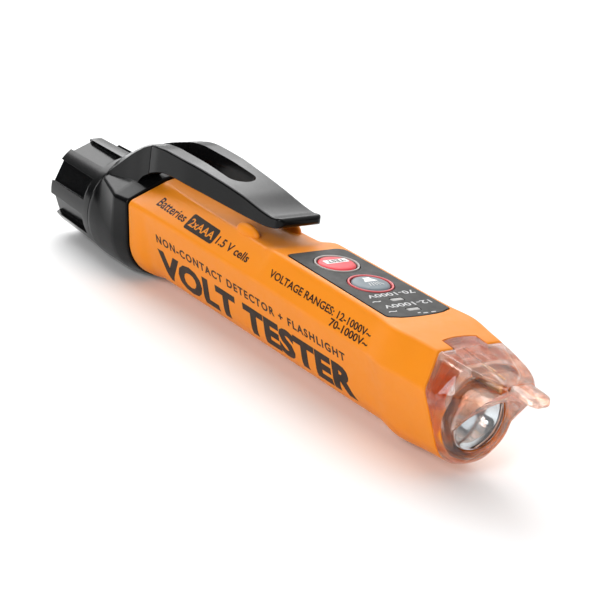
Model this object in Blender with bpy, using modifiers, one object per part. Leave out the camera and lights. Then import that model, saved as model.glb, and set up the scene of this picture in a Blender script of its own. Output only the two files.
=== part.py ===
"""Pen-style non-contact voltage tester with a flashlight in its clear nose.

+X points to the sensing tip, +Z to the button side. The origin is under the middle of
the tester, on the plane it rests on. Dimensions are in millimetres and are scaled to
metres when a mesh is made.
"""

import math

import bmesh
import bpy
from mathutils import Matrix, Vector

MM = 0.001
GAP = 0.3

# Stations along the tester
CAP_REAR_X = -86.85
CAP_FLANGE_X = -67.35
COLLAR_REAR_X = -67.05
COLLAR_EDGE_X = -55.5
HOUSING_REAR_X = -50.0
HOUSING_FRONT_X = 65.0
TAB_REAR_X = 58.4
SEAM_LEAN = 0.36
NOSE_FACE_X = 69.6
TIP_X = 86.85

# Heights
TUBE_Z = 12.15
LENS_Z = 13.15
PANEL_Z = 27.65
BOARD_TOP_Z = 20.7
BOARD_THICKNESS = 1.2

# Battery cap
CAP_RADIUS = 11.6
CAP_PHASE = 22.5
CAP_FLANGE_RADIUS = 12.2
CAP_POCKETS = 8
CAP_POCKET_WIDTH = 5.6
CAP_POCKET_FLOOR = 10.2
CAP_POCKET_END_X = -70.4
NECK_RADIUS = 8.9
NECK_END_X = -57.5
CAP_BORE_RADIUS = 6.0
CAP_BORE_END_X = -84.5
O_RING_X = -65.3

# Battery bay
NECK_BORE_RADIUS = 9.2
HOUSING_NECK_RADIUS = 10.4
CELL_RADIUS = 5.25
CELL_LENGTH = 43.5
CELL_NUB_LENGTH = 1.0
FRONT_CELL_X = -33.4
REAR_CELL_X = -78.2
SLEEVE_RADIUS = 6.6
SLEEVE_WALL = 0.9
SLEEVE_REAR_X = -56.0
SLEEVE_FRONT_X = 11.4

# Controls
BUTTON_X = {"power": 15.95, "flashlight": 28.35}
BUTTON_RADIUS = 4.2
BUTTON_TOP_Z = 28.0
BUTTON_TRAVEL = 0.6
SWITCH_HALF = 2.2
PLUNGER_TOP_Z = 23.4
WINDOW_X = {"high_range": 37.65, "low_range": 43.35}
WINDOW_SIZE = (1.3, 3.0)
PANEL_REAR_X = 7.7
PANEL_FRONT_X = 45.6
PANEL_HALF_REAR = 7.5
PANEL_HALF_FRONT = 8.2
PANEL_THICKNESS = 0.8

# Nose
SPIGOT_RADIUS = 8.2
SPIGOT_REAR_X = 60.3
SPIGOT_BORE = 7.2
LENS_RADIUS = 6.9
LENS_EDGE_X = 67.9
TAB_HALF = 4.2
TAB_FLOOR_Z = 24.2
ANTENNA_Z = 21.95
TONGUE_HALF = 2.75

# Clip
CLIP_SEAM_X = -50.0
CLIP_TIP_X = 1.6
SLOT_FRONT_X = -19.85
RIB_CENTRE = (-10.0, 5.6, 26.2)
RIB_RADII = (4.2, 1.5, 2.1)


def station(x, crest, flat, shoulder, wide, belly):
    """One cross-section: crest height, flat half-width with its corner height, the widest
    point and the belly circle, each as (across, up) or (radius, up)."""
    return {"x": x, "crest": crest, "flat": flat, "shoulder": shoulder, "wide": wide, "belly": belly}


HOUSING_STATIONS = [
    station(-50.0, 25.35, 2.0, 24.9, (12.3, 20.6), (11.0, 12.05)),
    station(-47.0, 25.5, 3.0, 25.1, (12.1, 20.5), (10.6, 11.9)),
    station(-43.5, 25.7, 4.2, 25.4, (11.9, 20.3), (8.8, 10.75)),
    station(-20.0, 26.3, 6.4, 26.1, (11.8, 20.2), (8.6, 10.5)),
    station(-1.0, 26.5, 7.2, 26.35, (11.8, 20.2), (8.6, 10.5)),
    station(5.0, 27.55, 8.7, 27.45, (11.9, 20.2), (8.6, 10.5)),
    station(30.0, 27.6, 9.1, 27.5, (12.0, 20.0), (8.6, 10.5)),
    station(43.5, 27.6, 9.5, 27.5, (12.1, 19.9), (8.6, 10.6)),
    station(50.5, 27.6, 10.3, 27.5, (13.0, 19.6), (8.5, 9.35)),
    station(58.5, 27.25, 8.9, 27.2, (12.9, 19.9), (8.2, 9.8)),
    station(66.0, 26.75, 7.8, 26.6, (12.6, 20.1), (8.0, 10.1)),
]
NOSE_STATIONS = [
    station(57.5, 27.3, 9.1, 27.2, (12.9, 19.9), (8.2, 9.75)),
    station(65.0, 26.8, 7.9, 26.7, (12.7, 20.1), (8.0, 9.95)),
    station(67.0, 26.65, 7.6, 26.5, (12.2, 20.0), (7.9, 10.65)),
    station(68.5, 26.5, 7.4, 26.35, (11.5, 19.9), (7.85, 11.5)),
    station(69.7, 26.4, 7.2, 26.2, (10.4, 19.8), (7.8, 13.05)),
    station(71.5, 26.25, 7.0, 26.0, (9.2, 20.0), (7.3, 13.4)),
    station(74.0, 26.0, 6.3, 25.75, (8.2, 20.3), (6.6, 14.6)),
    station(77.0, 25.7, 5.0, 25.4, (6.5, 20.9), (5.0, 17.2)),
    station(79.5, 25.4, 3.2, 25.2, (4.4, 21.6), (3.2, 19.8)),
]
COLLAR_STATIONS = [
    station(COLLAR_REAR_X, 24.6, 2.0, 24.45, (8.4, 21.4), (12.5, 12.15)),
    station(-65.5, 24.9, 2.4, 24.75, (9.6, 21.0), (12.6, 12.15)),
    station(COLLAR_EDGE_X, 26.6, 2.6, 26.2, (13.0, 20.4), (12.5, 12.15)),
    station(-50.3, 25.8, 2.2, 25.4, (12.6, 20.7), (11.4, 12.1)),
]
# Each row: x, height and half-width of the top, height and half-width of the side
ARCH_STATIONS = [
    (COLLAR_REAR_X, 25.6, 2.6, 21.4, 8.4),
    (-65.0, 27.3, 2.4, 23.4, 8.0),
    (-62.0, 29.2, 2.4, 25.9, 7.7),
    (-59.0, 30.9, 2.6, 28.4, 7.5),
    (-56.0, 32.1, 3.4, 30.6, 7.4),
    (-53.0, 33.1, 5.0, 32.3, 7.3),
    (CLIP_SEAM_X - GAP / 2, 33.95, 6.9, 33.6, 7.3),
]

CORNER_STEPS = 3
BELLY_STEPS = 8


def fillet(before, corner, after, radius, steps):
    """Points of the arc that rounds a corner between two straight edges."""
    corner = Vector(corner)
    to_before = (Vector(before) - corner).normalized()
    to_after = (Vector(after) - corner).normalized()
    half = to_before.angle(to_after) / 2.0
    reach = radius / math.tan(half)
    centre = corner + (to_before + to_after).normalized() * (radius / math.sin(half))
    start = corner + to_before * reach - centre
    end = corner + to_after * reach - centre
    sweep = start.angle_signed(end)
    points = []
    for step in range(steps + 1):
        turned = start.copy()
        turned.rotate(Matrix.Rotation(-sweep * step / steps, 2))
        points.append(tuple(centre + turned))
    return points


def ring(section, inset=0.0, top_inset=None, flat_z=0.0):
    """Closed cross-section loop in the YZ plane, wound from the crest down the +Y side."""
    top_inset = inset if top_inset is None else top_inset
    crest = (0.0, section["crest"] - top_inset)
    flat = (section["flat"] - inset * 0.6, section["shoulder"] - top_inset)
    wide = (section["wide"][0] - inset, section["wide"][1] - inset * 0.4)
    radius = section["belly"][0] - inset
    belly_z = section["belly"][1]
    reach = math.hypot(wide[0], wide[1] - belly_z)
    turn = math.atan2(wide[1] - belly_z, wide[0]) - math.acos(min(1.0, radius / reach))
    tangent = (radius * math.cos(turn), belly_z + radius * math.sin(turn))
    half = [crest]
    half += fillet(crest, flat, wide, 1.2, CORNER_STEPS)
    half += fillet(flat, wide, tangent, 1.6, CORNER_STEPS)
    for step in range(BELLY_STEPS + 1):
        angle = turn + (-math.pi / 2.0 - turn) * step / BELLY_STEPS
        point_z = belly_z + radius * math.sin(angle)
        half.append((radius * math.cos(angle), max(flat_z, point_z)))
    mirrored = [(-y, z) for y, z in reversed(half[1:-1])]
    return [(section["x"], y, z) for y, z in half + mirrored]


def clear_scene():
    for item in list(bpy.data.objects):
        bpy.data.objects.remove(item, do_unlink=True)


def make_collection(name):
    collection = bpy.data.collections.new(name)
    bpy.context.scene.collection.children.link(collection)
    return collection


clear_scene()
PARTS = make_collection("voltage_tester")
CUTTERS = make_collection("cutters")


def make_material(name, colour, roughness, metallic=0.0, alpha=1.0):
    material = bpy.data.materials.new(name)
    material.use_nodes = True
    shader = material.node_tree.nodes["Principled BSDF"]
    shader.inputs["Base Color"].default_value = (*colour, 1.0)
    shader.inputs["Roughness"].default_value = roughness
    shader.inputs["Metallic"].default_value = metallic
    shader.inputs["Alpha"].default_value = alpha
    return material


def add_object(name, mesh, collection):
    item = bpy.data.objects.new(name, mesh)
    collection.objects.link(item)
    return item


def from_bmesh(name, shape, collection):
    """Turns a bmesh drawn in millimetres into an object in metres."""
    bmesh.ops.scale(shape, vec=(MM, MM, MM), verts=shape.verts)
    bmesh.ops.recalc_face_normals(shape, faces=shape.faces)
    mesh = bpy.data.meshes.new(name)
    shape.to_mesh(mesh)
    shape.free()
    return add_object(name, mesh, collection)


def loft(name, rings, collection):
    """Skin over closed loops that all have the same number of points."""
    shape = bmesh.new()
    rows = [[shape.verts.new(point) for point in loop] for loop in rings]
    count = len(rings[0])
    for near, far in zip(rows, rows[1:]):
        for i in range(count):
            j = (i + 1) % count
            shape.faces.new((near[i], near[j], far[j], far[i]))
    shape.faces.new(rows[0])
    shape.faces.new(rows[-1])
    return from_bmesh(name, shape, collection)


def prism(name, outline, low, high, axis, collection):
    """Flat outline pulled along one axis; the outline's two values fill the other axes."""
    shape = bmesh.new()
    order = {"X": (2, 0, 1), "Y": (0, 2, 1), "Z": (0, 1, 2)}[axis]
    rows = []
    for level in (low, high):
        points = [(a, b, level) for a, b in outline]
        rows.append([shape.verts.new([point[k] for k in order]) for point in points])
    count = len(outline)
    for i in range(count):
        j = (i + 1) % count
        shape.faces.new((rows[0][i], rows[0][j], rows[1][j], rows[1][i]))
    shape.faces.new(rows[0])
    shape.faces.new(rows[1])
    return from_bmesh(name, shape, collection)


def box(name, low, high, collection):
    shape = bmesh.new()
    bmesh.ops.create_cube(shape, size=1.0)
    size = [high[k] - low[k] for k in range(3)]
    centre = [(high[k] + low[k]) / 2.0 for k in range(3)]
    bmesh.ops.scale(shape, vec=size, verts=shape.verts)
    bmesh.ops.translate(shape, vec=centre, verts=shape.verts)
    return from_bmesh(name, shape, collection)


def rod(name, start, end, radius, collection, sides=32, end_radius=None):
    """Cylinder or cone between two points."""
    shape = bmesh.new()
    line = Vector(end) - Vector(start)
    end_radius = radius if end_radius is None else end_radius
    bmesh.ops.create_cone(shape, cap_ends=True, segments=sides, radius1=radius,
                          radius2=end_radius, depth=line.length)
    turn = Vector((0, 0, 1)).rotation_difference(line.normalized()).to_matrix().to_4x4()
    middle = Matrix.Translation((Vector(start) + Vector(end)) / 2.0)
    bmesh.ops.transform(shape, matrix=middle @ turn, verts=shape.verts)
    return from_bmesh(name, shape, collection)


def turned(name, profile, axis_z, collection, steps=32, closed=False):
    """Solid of revolution about a line along X. The profile lists (radius, x) down its
    outer side, from the nose end to the cap end."""
    mesh = bpy.data.meshes.new(name)
    points = [(radius * MM, 0.0, x * MM) for radius, x in profile]
    edges = [(i, i + 1) for i in range(len(points) - 1)]
    if closed:
        edges.append((len(points) - 1, 0))
    mesh.from_pydata(points, edges, [])
    item = add_object(name, mesh, collection)
    item.location = (0.0, 0.0, axis_z * MM)
    item.rotation_euler = (0.0, math.pi / 2.0, 0.0)
    screw = item.modifiers.new("Turn", "SCREW")
    screw.steps = steps
    screw.render_steps = steps
    screw.use_merge_vertices = True
    screw.merge_threshold = 0.00001
    return item


def combine(item, other, operation):
    modifier = item.modifiers.new(operation.title(), "BOOLEAN")
    modifier.operation = operation
    modifier.solver = "EXACT"
    modifier.object = other
    other.hide_render = True
    other.display_type = "WIRE"


def cut(item, *cutters):
    for cutter in cutters:
        combine(item, cutter, "DIFFERENCE")


def fuse(item, *others):
    for other in others:
        combine(item, other, "UNION")


def finish(item, material):
    item.data.materials.clear()
    item.data.materials.append(material)


def set_origin(item, point):
    """Moves an object's origin to a point on its joint's axis."""
    offset = Vector(point) * MM - item.location
    item.data.transform(Matrix.Translation(-offset))
    item.location = Vector(point) * MM


def panel_outline(grow):
    """Plan of the button panel: rounded corners, bowed front edge, one larger corner."""
    rear = PANEL_REAR_X - grow
    front = PANEL_FRONT_X + grow
    half_rear = PANEL_HALF_REAR + grow
    half_front = PANEL_HALF_FRONT + grow
    bow = 1.3
    points = fillet((front, -half_front), (rear, -half_rear), (rear, half_rear), 1.2, 3)
    points += fillet((rear, -half_rear), (rear, half_rear), (front, half_front), 2.4, 4)
    points += fillet((rear, half_rear), (front, half_front), (front, 0.0), 1.2, 3)
    for step in range(1, 6):
        across = half_front * (1.0 - step / 3.0) * 0.8
        points.append((front + bow * (1.0 - (across / half_front) ** 2), across))
    points += fillet((front, 0.0), (front, -half_front), (rear, -half_rear), 1.2, 3)
    return points


def seam_x(z):
    """Front edge of the housing: upright below, leaning back towards the top."""
    return HOUSING_FRONT_X - SEAM_LEAN * max(0.0, z - 20.0)


def seam_side(far_x, gap):
    """Side view of everything between the seam and a far station."""
    return [(far_x, -5), (seam_x(0) + gap, -5), (seam_x(0) + gap, 20.0), (seam_x(35) + gap, 35), (far_x, 35)]


def tab_outline(grow):
    """Plan of the nose's tab: a bowed rear edge and straight sides."""
    half = TAB_HALF + grow
    rear = TAB_REAR_X - grow
    points = []
    for step in range(7):
        across = half * (1.0 - step / 3.0)
        points.append((rear + 0.7 * (across / half) ** 2, across))
    return points + [(67.0, -half), (67.0, half)]


def build_housing(material):
    item = loft("main_housing", [ring(s) for s in HOUSING_STATIONS], PARTS)
    ahead = prism("ahead_of_seam_cutter", seam_side(80.0, 0.0), -20, 20, "Y", CUTTERS)
    neck = rod("neck_stock", (COLLAR_REAR_X + 0.5, 0, TUBE_Z), (HOUSING_REAR_X + 1.0, 0, TUBE_Z),
               HOUSING_NECK_RADIUS, CUTTERS, 48)
    cavity_rings = []
    for section in HOUSING_STATIONS[1:-1]:
        top = 2.6 if section["x"] < 45.0 else 3.4
        cavity_rings.append(ring(section, inset=1.9, top_inset=top))
    cavity_rings[-1] = [(TAB_REAR_X - 1.6, y, min(z, 22.6)) for x, y, z in cavity_rings[-1]]
    cavity = loft("cavity_cutter", cavity_rings, CUTTERS)
    neck_bore = rod("neck_bore_cutter", (-70, 0, TUBE_Z), (-46, 0, TUBE_Z), NECK_BORE_RADIUS, CUTTERS, 48)
    front_bore = rod("front_bore_cutter", (56, 0, LENS_Z), (67, 0, LENS_Z), SPIGOT_RADIUS + GAP, CUTTERS, 40)
    antenna_way = box("antenna_way_cutter", (56, -1.9, 20), (67, 1.9, ANTENNA_Z + 1.4), CUTTERS)
    notch = prism("tab_notch_cutter", tab_outline(GAP), TAB_FLOOR_Z, 30, "Z", CUTTERS)
    recess = prism("panel_recess_cutter", panel_outline(0.25),
                   PANEL_Z - PANEL_THICKNESS - GAP, 30, "Z", CUTTERS)
    fuse(item, neck, clip_rib("near_rib_stock", -1.0), clip_rib("far_rib_stock", 1.0))
    cut(item, ahead, cavity, neck_bore, front_bore, antenna_way, notch, recess)
    for name, x in BUTTON_X.items():
        cut(item, rod(name + "_hole_cutter", (x, 0, 20), (x, 0, 30), BUTTON_RADIUS + GAP, CUTTERS, 28))
    for name, x in WINDOW_X.items():
        low = (x - WINDOW_SIZE[0] / 2 - GAP, -WINDOW_SIZE[1] / 2 - GAP, 20)
        high = (x + WINDOW_SIZE[0] / 2 + GAP, WINDOW_SIZE[1] / 2 + GAP, 30)
        cut(item, box(name + "_slot_cutter", low, high, CUTTERS))
    finish(item, material)


def clip_rib(name, side):
    """Low rounded rib on the shell beside the tip of the clip."""
    shape = bmesh.new()
    bmesh.ops.create_uvsphere(shape, u_segments=16, v_segments=10, radius=1.0)
    bmesh.ops.scale(shape, vec=RIB_RADII, verts=shape.verts)
    bmesh.ops.translate(shape, vec=(RIB_CENTRE[0], side * RIB_CENTRE[1], RIB_CENTRE[2]), verts=shape.verts)
    return from_bmesh(name, shape, CUTTERS)


def build_panel(materials):
    item = prism("control_panel", panel_outline(0.0), PANEL_Z - PANEL_THICKNESS, PANEL_Z, "Z", PARTS)
    for name, x in BUTTON_X.items():
        hole = rod(name + "_ring_hole_cutter", (x, 0, 20), (x, 0, 30), BUTTON_RADIUS + 1.15, CUTTERS, 28)
        cut(item, hole)
        rim = rod(name + "_button_ring", (x, 0, PANEL_Z - PANEL_THICKNESS), (x, 0, PANEL_Z + 0.2),
                  BUTTON_RADIUS + 0.85, PARTS, 28)
        cut(rim, rod(name + "_ring_bore_cutter", (x, 0, 20), (x, 0, 30), BUTTON_RADIUS + GAP, CUTTERS, 28))
        finish(rim, materials[name + "_ring"])
    for name, x in WINDOW_X.items():
        half_x = WINDOW_SIZE[0] / 2
        half_y = WINDOW_SIZE[1] / 2
        slot = box(name + "_panel_slot_cutter", (x - half_x - 0.2, -half_y - 0.2, 20),
                   (x + half_x + 0.2, half_y + 0.2, 30), CUTTERS)
        cut(item, slot)
        window = box(name + "_window", (x - half_x, -half_y, BOARD_TOP_Z + 1.9),
                     (x + half_x, half_y, PANEL_Z), PARTS)
        finish(window, materials["window"])
        led = box(name + "_led", (x - 0.8, -1.6, BOARD_TOP_Z + GAP), (x + 0.8, 1.6, BOARD_TOP_Z + 1.5),
                  PARTS)
        finish(led, materials["led"])
    finish(item, materials["panel"])


def build_buttons(materials):
    """Round push buttons with a stem that reaches the switch below."""
    for name, x in BUTTON_X.items():
        item = rod(name + "_button", (x, 0, 26.0), (x, 0, BUTTON_TOP_Z), BUTTON_RADIUS, PARTS, 28)
        bevel = item.modifiers.new("Rim", "BEVEL")
        bevel.width = 0.35 * MM
        bevel.segments = 2
        bevel.limit_method = "ANGLE"
        stem_foot = PLUNGER_TOP_Z + BUTTON_TRAVEL + GAP
        stem = rod(name + "_stem_stock", (x, 0, stem_foot), (x, 0, 26.5), 1.4, CUTTERS, 16)
        fuse(item, stem)
        finish(item, materials[name])
        set_origin(item, (x, 0, PANEL_Z))
        switch = box(name + "_switch", (x - SWITCH_HALF, -SWITCH_HALF, BOARD_TOP_Z + GAP),
                     (x + SWITCH_HALF, SWITCH_HALF, BOARD_TOP_Z + 2.0), PARTS)
        plunger = rod(name + "_plunger_stock", (x, 0, BOARD_TOP_Z + 1), (x, 0, PLUNGER_TOP_Z), 1.1,
                      CUTTERS, 16)
        fuse(switch, plunger)
        finish(switch, materials["switch"])


def build_board(materials):
    low_z = BOARD_TOP_Z - BOARD_THICKNESS
    board = box("circuit_board", (13.5, -6.5, low_z), (54.0, 6.5, BOARD_TOP_Z), PARTS)
    finish(board, materials["board"])
    chip = box("controller_chip", (34.0, -3.0, low_z - 1.5), (40.0, 3.0, low_z - GAP), PARTS)
    finish(chip, materials["chip"])
    buzzer = rod("piezo_buzzer", (23.0, 0, low_z - 3.0), (23.0, 0, low_z - GAP), 5.0, PARTS, 24)
    finish(buzzer, materials["brass"])
    antenna = rod("sensor_antenna", (54.3, 0, ANTENNA_Z), (74.0, 0, ANTENNA_Z), 0.4, PARTS, 12)
    finish(antenna, materials["brass"])
    tip_led = rod("tip_led", (54.3, 3.2, 19.7), (58.0, 3.2, 19.7), 0.9, PARTS, 16, 0.7)
    finish(tip_led, materials["led"])


def build_torch(materials):
    """Flashlight module: board, emitter, reflector cup and lens, all about the lens axis."""
    board = rod("led_board", (54.6, 0, LENS_Z), (55.8, 0, LENS_Z), 6.0, PARTS, 24)
    finish(board, materials["board"])
    emitter = rod("flashlight_led", (56.1, 0, LENS_Z), (58.4, 0, LENS_Z), 1.8, PARTS, 20, 1.3)
    finish(emitter, materials["led"])
    cup = [(6.8, 64.9)]
    for step in range(7):
        share = step / 6.0
        cup.append((6.8 - 4.2 * share, 64.7 - 7.8 * share ** 2))
    inner = []
    for step in range(7):
        share = 1.0 - step / 6.0
        inner.append((6.2 - 3.9 * share, 64.9 - 7.4 * share ** 2))
    reflector = turned("flashlight_reflector", cup + inner, LENS_Z, PARTS, 32, closed=True)
    finish(reflector, materials["mirror"])
    seal = rod("nose_seal", (59.0, 0, LENS_Z), (60.0, 0, LENS_Z), SPIGOT_RADIUS, PARTS, 32)
    cut(seal, rod("nose_seal_bore_cutter", (58, 0, LENS_Z), (61, 0, LENS_Z), SPIGOT_BORE, CUTTERS, 32))
    finish(seal, materials["rubber"])
    bulge = 1.9
    face = []
    for step in range(7):
        angle = math.radians(15.0 * step)
        face.append((LENS_RADIUS * math.sin(angle), LENS_EDGE_X + bulge * math.cos(angle)))
    face[0] = (0.0, LENS_EDGE_X + bulge)
    lens = turned("flashlight_lens", face + [(LENS_RADIUS, 65.2), (0.0, 65.2)], LENS_Z, PARTS, 36)
    finish(lens, materials["clear"])


def build_nose(material):
    """Clear nose: dome with a rearward tab on top, a slanted visor and the sensing tongue."""
    item = loft("nose_lens", [ring(s) for s in NOSE_STATIONS], PARTS)
    behind = prism("behind_seam_cutter", seam_side(50.0, GAP), -20, 20, "Y", CUTTERS)
    tab = prism("tab_stock", tab_outline(0.0), TAB_FLOOR_Z + GAP, 35, "Z", CUTTERS)
    cut(behind, tab)
    slant = 0.8
    top = 26.5
    slant_x = 70.45
    visor = [(NOSE_FACE_X, -5), (NOSE_FACE_X, LENS_Z - (slant_x - NOSE_FACE_X) / slant),
             (slant_x + slant * (top - LENS_Z), top), (95, top), (95, -5)]
    visor_cutter = prism("visor_cutter", visor, -20, 20, "Y", CUTTERS)
    cut(item, behind, visor_cutter)
    spigot = rod("spigot_stock", (SPIGOT_REAR_X, 0, LENS_Z), (67, 0, LENS_Z), SPIGOT_RADIUS, CUTTERS, 40)
    guide = box("antenna_guide_stock", (SPIGOT_REAR_X, -1.6, 20.6), (67, 1.6, ANTENNA_Z + 1.1), CUTTERS)
    tongue = build_tongue()
    fuse(item, spigot, guide, tongue)
    bore = rod("lens_bore_cutter", (58, 0, LENS_Z), (90, 0, LENS_Z), SPIGOT_BORE, CUTTERS, 36)
    antenna_hole = rod("antenna_hole_cutter", (58, 0, ANTENNA_Z), (74.3, 0, ANTENNA_Z), 0.7, CUTTERS, 12)
    cut(item, bore, antenna_hole)
    finish(item, material)


def build_tongue():
    """Flat sensing blade with a round end, tipped slightly down."""
    root = 70.0
    rows = []
    for x in (root, 76.0, 80.0, 83.0, 85.2, 86.3, TIP_X):
        ahead = max(0.0, x - 83.9)
        half = max(0.9, math.sqrt(max(0.0, TONGUE_HALF ** 2 - ahead ** 2 * 0.8)))
        top = 25.5 - (x - 76.0) * 0.075
        thick = 1.9 - (x - root) * 0.02
        side = 0.35
        rows.append([
            (x, half - side, top), (x, half, top - thick / 2), (x, half - side, top - thick),
            (x, -half + side, top - thick), (x, -half, top - thick / 2), (x, -half + side, top)])
    return loft("tongue_stock", rows, CUTTERS)


def build_collar_and_clip(material):
    """The collar carries a hood-shaped arch; the pocket clip's arm meets it at the seam."""
    collar = loft("clip_collar", [ring(s) for s in COLLAR_STATIONS], PARTS)
    arch = build_arch()
    bore = rod("collar_bore_cutter", (-70, 0, TUBE_Z), (-45, 0, TUBE_Z), HOUSING_NECK_RADIUS + GAP,
               CUTTERS, 48)
    fuse(collar, arch)
    cut(collar, bore)
    finish(collar, material)
    clip = build_clip()
    finish(clip, material)
    set_origin(clip, (CLIP_SEAM_X, 0, 33.6))


def build_arch():
    """Hood from the collar up to the seam: rounded across at the rear, flat at the seam."""
    rows = []
    for x, top, top_half, side, side_half in ARCH_STATIONS:
        shoulder = (top_half + (side_half - top_half) * 0.55, top - (top - side) * 0.35)
        half = [(top_half, top), shoulder, (side_half, side), (side_half, 19.0)]
        loop = half + [(-y, z) for y, z in reversed(half)]
        rows.append([(x, y, z) for y, z in loop])
    arch = loft("arch_stock", rows, CUTTERS)
    under = [(-56.0, 15.0), (-56.0, 20.0), (-54.0, 24.0), (-51.0, 26.5), (-49.0, 27.4), (-49.0, 15.0)]
    cut(arch, prism("arch_under_cutter", under, -12, 12, "Y", CUTTERS), slot_cutter("arch"))
    return arch


def build_clip():
    """Arm of the clip, with its slot, hollow underside and lifted tip."""
    seam = CLIP_SEAM_X + GAP / 2
    top = [(seam, 34.0), (-48.0, 34.5), (-43.0, 35.05), (-34.0, 35.1), (-24.0, 34.7), (-14.0, 34.0),
           (-5.0, 32.9), (-1.5, 32.9), (CLIP_TIP_X, 33.4)]
    under = [(CLIP_TIP_X, 31.0), (-1.5, 30.3), (-5.0, 29.8), (-14.0, 29.5), (-38.0, 29.6), (-43.0, 29.3),
             (-47.0, 28.2), (seam, 27.0)]
    arm = prism("pocket_clip", top + under, -9.5, 9.5, "Y", PARTS)
    half = [(seam - 1.0, 7.4), (-46.0, 7.7), (-36.0, 7.6), (-28.0, 7.1), (-20.0, 6.6), (-12.0, 6.2),
            (0.4, 5.9), (CLIP_TIP_X, 5.0)]
    plan = half + [(x, -y) for x, y in reversed(half)]
    combine(arm, prism("clip_plan_cutter", plan, 10, 45, "Z", CUTTERS), "INTERSECT")
    channel = [(-47.0, 24.0), (-43.0, 31.8), (-34.0, 32.9), (-24.0, 32.6), (-14.0, 31.9), (-8.5, 31.0),
               (-7.5, 24.0)]
    cut(arm, slot_cutter("clip"), prism("clip_channel_cutter", channel, -4.3, 4.3, "Y", CUTTERS))
    return arm


def slot_cutter(name):
    """Slot through the strap: narrow over the collar, wide and round-ended in the arm."""
    rear_x = -64.5
    half = 3.5
    centre_x = SLOT_FRONT_X - half
    side = [(rear_x, 1.8), (-55.0, 2.3), (-46.0, half)]
    outline = list(side)
    for step in range(9):
        angle = math.pi / 2 - math.pi * step / 8
        outline.append((centre_x + half * math.cos(angle), half * math.sin(angle)))
    outline += [(x, -y) for x, y in reversed(side)]
    return prism(name + "_slot_cutter", outline, 10, 45, "Z", CUTTERS)


def build_cap(materials):
    """Screw cap with grip pockets, its seal and the rear battery contact."""
    profile = [
        (0.0, CAP_BORE_END_X), (CAP_BORE_RADIUS, CAP_BORE_END_X), (CAP_BORE_RADIUS, NECK_END_X),
        (NECK_RADIUS, NECK_END_X), (NECK_RADIUS, -64.4), (8.0, -64.4), (8.0, -66.2), (NECK_RADIUS, -66.2),
        (NECK_RADIUS, CAP_FLANGE_X), (CAP_FLANGE_RADIUS, CAP_FLANGE_X), (CAP_FLANGE_RADIUS, -70.0),
        (CAP_FLANGE_RADIUS - 0.2, -70.3), (CAP_RADIUS, -86.3), (CAP_RADIUS - 0.55, CAP_REAR_X),
        (0.0, CAP_REAR_X)]
    item = turned("battery_cap", profile, TUBE_Z, PARTS, 48)
    shape = bmesh.new()
    for index in range(CAP_POCKETS):
        angle = 2 * math.pi * index / CAP_POCKETS + math.radians(CAP_PHASE)
        found = bmesh.ops.create_cube(shape, size=1.0)["verts"]
        bmesh.ops.scale(shape, vec=(20.0, CAP_POCKET_WIDTH, 4.0), verts=found)
        bmesh.ops.translate(shape, vec=(CAP_POCKET_END_X - 10.0, 0.0, CAP_POCKET_FLOOR + 2.0), verts=found)
        bmesh.ops.rotate(shape, cent=(0, 0, 0), matrix=Matrix.Rotation(angle, 3, "X"), verts=found)
    bmesh.ops.translate(shape, vec=(0, 0, TUBE_Z), verts=shape.verts)
    cut(item, from_bmesh("cap_pocket_cutter", shape, CUTTERS))
    finish(item, materials["black"])
    seal = []
    for step in range(10):
        angle = -2 * math.pi * step / 10
        seal.append((8.65 + 0.35 * math.cos(angle), O_RING_X + 0.35 * math.sin(angle)))
    finish(turned("cap_o_ring", seal, TUBE_Z, PARTS, 32, closed=True), materials["rubber"])
    plate = rod("cap_contact_plate", (-84.2, 0, TUBE_Z), (-83.7, 0, TUBE_Z), 5.4, PARTS, 24)
    finish(plate, materials["steel"])
    finish(build_spring("cap_spring", -83.0, -78.95), materials["steel"])


def build_spring(name, start, end):
    """Conical contact spring, wide at the cap and narrow at the cell."""
    curve = bpy.data.curves.new(name, "CURVE")
    curve.dimensions = "3D"
    curve.bevel_depth = 0.3 * MM
    curve.bevel_resolution = 1
    curve.use_fill_caps = True
    per_turn = 12
    turns = 3
    spline = curve.splines.new("POLY")
    spline.points.add(turns * per_turn)
    for i in range(turns * per_turn + 1):
        share = i / (turns * per_turn)
        angle = 2 * math.pi * i / per_turn
        radius = 4.2 - 1.6 * share
        point = Vector((start + (end - start) * share, radius * math.cos(angle),
                        TUBE_Z + radius * math.sin(angle)))
        spline.points[i].co = (*(point * MM), 1.0)
    return add_object(name, curve, PARTS)


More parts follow.
